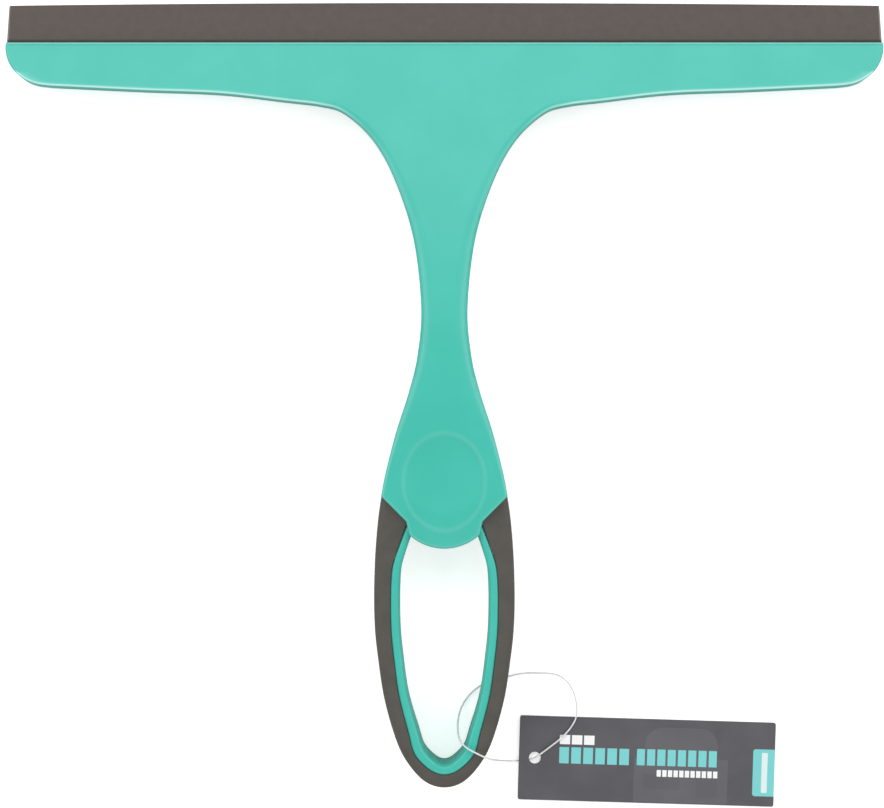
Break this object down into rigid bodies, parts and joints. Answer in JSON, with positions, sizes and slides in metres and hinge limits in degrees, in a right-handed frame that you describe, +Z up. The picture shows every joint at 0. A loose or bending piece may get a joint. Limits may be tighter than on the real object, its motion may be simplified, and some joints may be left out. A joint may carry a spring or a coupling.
{
  "type": "window cleaning squeegee",
  "caption": "T-shaped window squeegee: a wide moulded head with a rubber blade, a slim neck with a dished thumb pad, and an open loop handle with a soft grip and a hang tag.",
  "frame": {"origin": "on the surface the squeegee lies on, under the middle of the squeegee without its tag", "axes": "+X along the blade, +Y from the handle loop to the blade, +Z up, out of the front face"},
  "size_m": [0.3, 0.2774, 0.0253],
  "materials": {
    "moulded_plastic": "satin gloss moulded polypropylene",
    "soft_grip": "matte thermoplastic elastomer",
    "wiper_rubber": "smooth matte rubber",
    "tag_card": "matte printed card",
    "clear_nylon": "translucent nylon"
  },
  "bodies": {
    "squeegee": {"body": "moulded_plastic", "grip": "soft_grip", "tag_thread": "clear_nylon", "tag_lock_socket": "clear_nylon", "tag_lock_tip": "clear_nylon"},
    "wiper": {"blade": "wiper_rubber"},
    "tag": {"hang_tag": "tag_card"}
  },
  "joints": [
    {"name": "blade_slide", "type": "slide", "parent": "squeegee", "child": "wiper", "axis": [1, 0, 0], "range_m": [-0.3, 0.3]},
    {"name": "tag_swing", "type": "hinge", "parent": "squeegee", "child": "tag", "pos_m": [0.0312, -0.1259, 0.001], "axis": [0, 0, 1], "range_deg": [-20, 20]}
  ]
}
